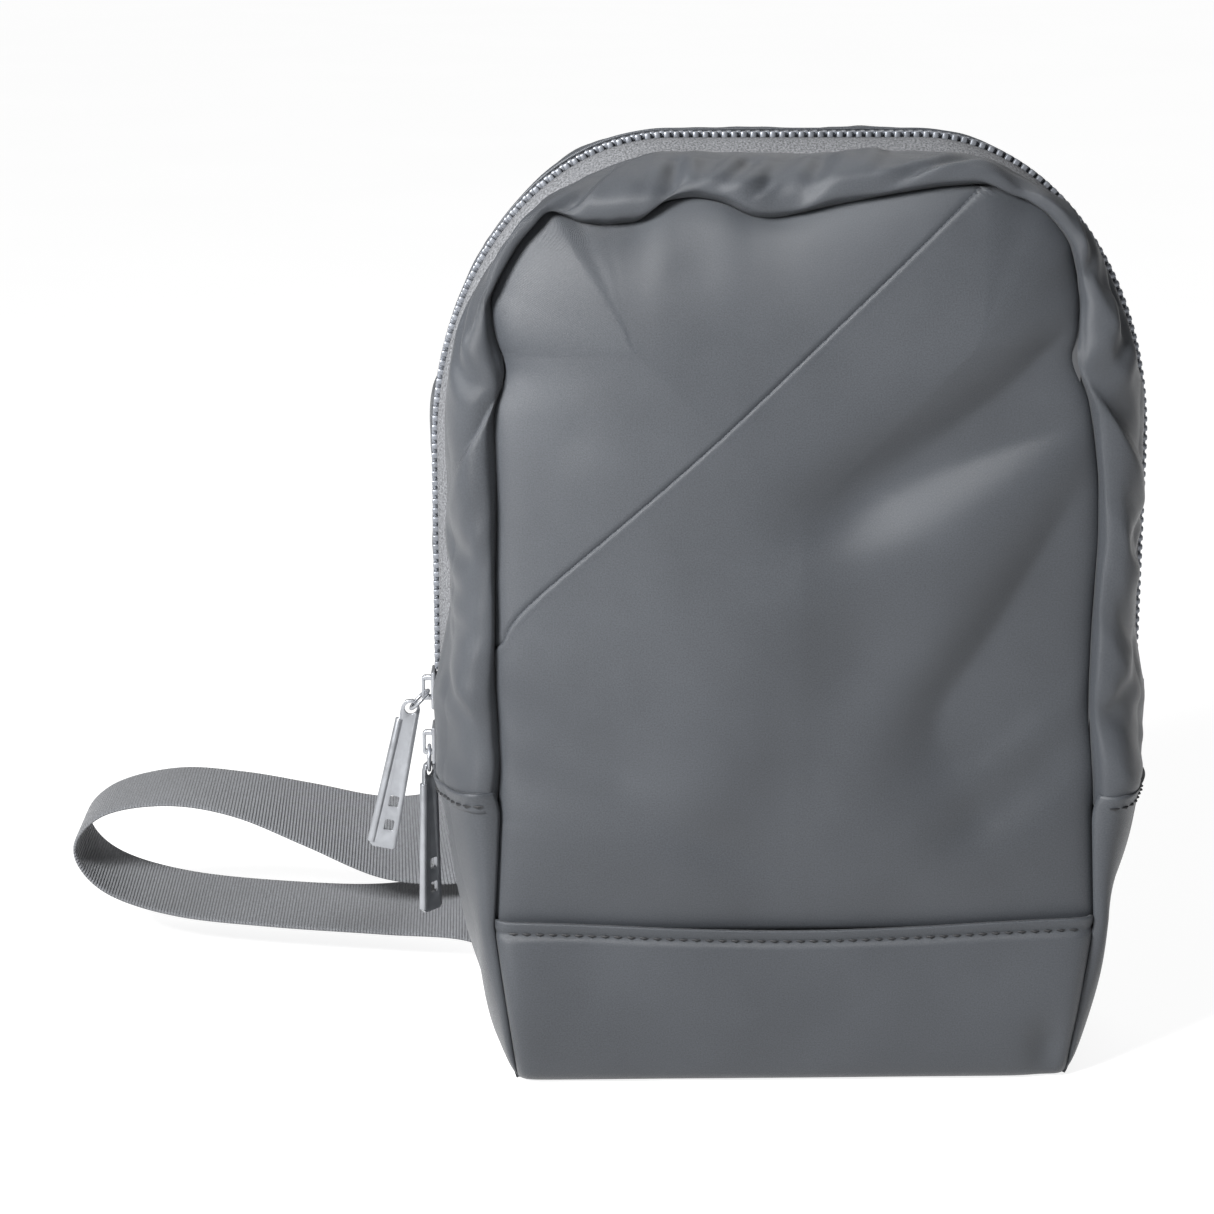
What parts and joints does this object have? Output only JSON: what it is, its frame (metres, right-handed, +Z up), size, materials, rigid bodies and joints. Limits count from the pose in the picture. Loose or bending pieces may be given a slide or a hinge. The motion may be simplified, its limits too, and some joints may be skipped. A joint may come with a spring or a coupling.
{
  "type": "sling bag",
  "caption": "Upright one-shoulder sling bag with an arched zip mouth, a slanting front pocket edge, a stitched foot band and a webbing strap.",
  "frame": {"origin": "middle of the bag's base, on the floor, in the plane of the zip", "axes": "+Z up; -Y out of the front panel; +X to the right as the front is looked at"},
  "size_m": [0.351, 0.168, 0.2882],
  "materials": {
    "shell_fabric": "matte coated woven nylon with a soft sheen",
    "lining_fabric": "matte",
    "seam_binding": "matte",
    "zip_tape": "heathered",
    "webbing": "ribbed weave",
    "foam": "matte",
    "stiffener_board": "matte",
    "zip_teeth": "pale gunmetal, semi-gloss",
    "gunmetal": "polished dark plating",
    "moulded_plastic": "satin"
  },
  "bodies": {
    "root": {"back_foam": "foam", "back_panel": "shell_fabric", "base_band": "shell_fabric", "base_board": "stiffener_board", "base_lining": "lining_fabric", "base_panel": "shell_fabric", "fold_front": "shell_fabric", "fold_left": "shell_fabric", "fold_right": "shell_fabric", "lower_lining": "lining_fabric", "rear_gusset": "shell_fabric", "rear_lining": "lining_fabric", "rear_seam_binding": "seam_binding", "rear_zip_tape": "zip_tape", "rear_zip_teeth": "zip_teeth", "side_panel_left": "shell_fabric", "side_panel_right": "shell_fabric", "strap_adjuster": "moulded_plastic", "strap_anchor_patch": "webbing", "strap_pad": "shell_fabric", "strap_pad_loop": "webbing", "strap_webbing": "webbing", "zip_stop_left": "gunmetal", "zip_stop_right": "gunmetal"},
    "front_half": {"front_gusset": "shell_fabric", "front_lining": "lining_fabric", "front_panel_upper": "shell_fabric", "front_pocket_panel": "shell_fabric", "front_seam_binding": "seam_binding", "front_zip_tape": "zip_tape", "front_zip_teeth": "zip_teeth", "pocket_edge_piping": "shell_fabric", "pocket_lining": "lining_fabric"},
    "upper_slider": {"upper_slider": "gunmetal"},
    "upper_slider_ring": {"upper_slider_ring": "gunmetal"},
    "upper_puller": {"upper_puller": "gunmetal"},
    "lower_slider": {"lower_slider": "gunmetal"},
    "lower_slider_ring": {"lower_slider_ring": "gunmetal"},
    "lower_puller": {"lower_puller": "gunmetal"}
  },
  "joints": [
    {"name": "front_half_fold", "type": "hinge", "parent": "root", "child": "front_half", "pos_m": [0, 0, 0.088], "axis": [1, 0, 0], "range_deg": [0, 50], "deforming": ["fold_front", "fold_left", "fold_right"]},
    {"name": "upper_slider_travel", "type": "slide", "parent": "root", "child": "upper_slider", "axis": [0, 0, 1], "range_m": [0, 0.045]},
    {"name": "upper_ring_swing", "type": "hinge", "parent": "upper_slider", "child": "upper_slider_ring", "pos_m": [-0.11295, 0, 0.1138], "axis": [0, 1, 0], "range_deg": [0, 60]},
    {"name": "upper_puller_swing", "type": "hinge", "parent": "upper_slider_ring", "child": "upper_puller", "pos_m": [-0.11861, 0, 0.10814], "axis": [0, 1, 0], "range_deg": [0, 60]},
    {"name": "lower_slider_travel", "type": "slide", "parent": "root", "child": "lower_slider", "axis": [0, 0, 1], "range_m": [0, 0.0015]},
    {"name": "lower_ring_swing", "type": "hinge", "parent": "lower_slider", "child": "lower_slider_ring", "pos_m": [-0.11295, 0, 0.0958], "axis": [0, 1, 0], "range_deg": [0, 5]},
    {"name": "lower_puller_swing", "type": "hinge", "parent": "lower_slider_ring", "child": "lower_puller", "pos_m": [-0.11295, 0, 0.0878], "axis": [-0.766, 0.6428, 0], "range_deg": [-18, 18]}
  ]
}
